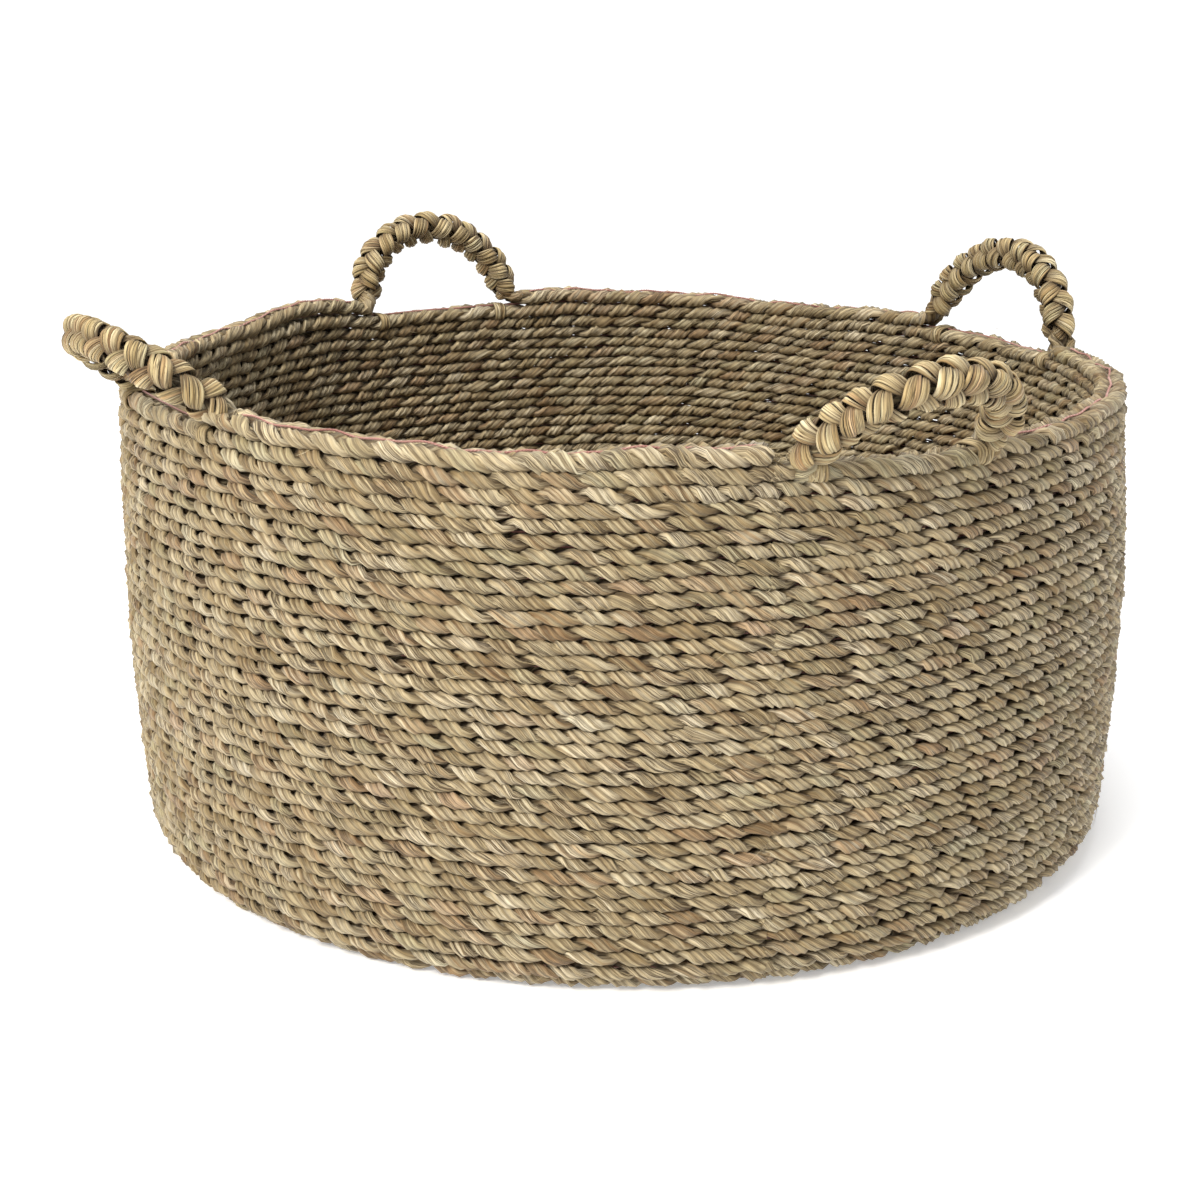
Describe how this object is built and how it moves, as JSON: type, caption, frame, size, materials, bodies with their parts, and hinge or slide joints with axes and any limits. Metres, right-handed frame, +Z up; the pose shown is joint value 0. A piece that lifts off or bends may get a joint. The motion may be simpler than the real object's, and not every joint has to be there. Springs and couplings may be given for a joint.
{
  "type": "storage basket",
  "caption": "Round low storage basket of coiled and sewn seagrass braid, with plaited loop handles that bend at the rim.",
  "frame": {"origin": "centre of the underside, on the surface that the basket stands on", "axes": "+Z up out of the mouth; -Y towards the front, where the rim braid's frayed end is; +X to the right seen from the front"},
  "size_m": [0.5589, 0.5638, 0.3167],
  "materials": {
    "base_braid": "matte",
    "wall_braid": "matte",
    "rim_braid": "matte",
    "handle_core": "matte",
    "plaited_strands": "matte",
    "tie_strand": "matte",
    "sewing_thread": "matte"
  },
  "bodies": {
    "basket": {"base_start": "base_braid", "base_coil": "base_braid", "wall_thread": "sewing_thread", "rim_thread": "sewing_thread", "thread_knots": "sewing_thread", "wall_course_01": "wall_braid", "wall_course_02": "wall_braid", "wall_course_03": "wall_braid", "wall_course_04": "wall_braid", "wall_course_05": "wall_braid", "wall_course_06": "wall_braid", "wall_course_07": "wall_braid", "wall_course_08": "wall_braid", "wall_course_09": "wall_braid", "wall_course_10": "wall_braid", "wall_course_11": "wall_braid", "wall_course_12": "wall_braid", "wall_course_13": "wall_braid", "wall_course_14": "wall_braid", "wall_course_15": "wall_braid", "wall_course_16": "wall_braid", "wall_course_17": "wall_braid", "wall_course_18": "wall_braid", "wall_course_19": "wall_braid", "wall_course_20": "wall_braid", "wall_course_21": "wall_braid", "wall_course_22": "wall_braid", "wall_course_23": "wall_braid", "wall_course_24": "wall_braid", "wall_course_25": "wall_braid", "wall_course_26": "wall_braid", "wall_course_27": "wall_braid", "wall_course_28": "wall_braid", "wall_course_29": "wall_braid", "wall_course_30": "wall_braid", "wall_course_31": "wall_braid", "wall_course_32": "wall_braid", "wall_course_33": "wall_braid", "wall_course_34": "wall_braid", "wall_course_35": "wall_braid", "wall_course_36": "wall_braid", "front_right_rim_braid": "rim_braid", "back_right_rim_braid": "rim_braid", "back_left_rim_braid": "rim_braid", "front_left_rim_braid": "rim_braid", "front_right_foot_ties": "tie_strand", "back_right_foot_ties": "tie_strand", "back_left_foot_ties": "tie_strand", "front_left_foot_ties": "tie_strand"},
    "front_right_handle": {"front_right_handle_core": "handle_core", "front_right_handle_plait": "plaited_strands"},
    "back_right_handle": {"back_right_handle_core": "handle_core", "back_right_handle_plait": "plaited_strands"},
    "back_left_handle": {"back_left_handle_core": "handle_core", "back_left_handle_plait": "plaited_strands"},
    "front_left_handle": {"front_left_handle_core": "handle_core", "front_left_handle_plait": "plaited_strands"}
  },
  "joints": [
    {"name": "front_right_handle_bend", "type": "hinge", "parent": "basket", "child": "front_right_handle", "pos_m": [0.12097, -0.23239, 0.25624], "axis": [0.887, 0.4617, 0], "range_deg": [-86, 22]},
    {"name": "back_right_handle_bend", "type": "hinge", "parent": "basket", "child": "back_right_handle", "pos_m": [0.22973, 0.12113, 0.25624], "axis": [-0.4664, 0.8846, 0], "range_deg": [-48, 60]},
    {"name": "back_left_handle_bend", "type": "hinge", "parent": "basket", "child": "back_left_handle", "pos_m": [-0.12697, 0.22907, 0.25624], "axis": [-0.8746, -0.4848, 0], "range_deg": [-42, 66]},
    {"name": "front_left_handle_bend", "type": "hinge", "parent": "basket", "child": "front_left_handle", "pos_m": [-0.21825, -0.14446, 0.25624], "axis": [0.5519, -0.8339, 0], "range_deg": [-94, 14]}
  ]
}
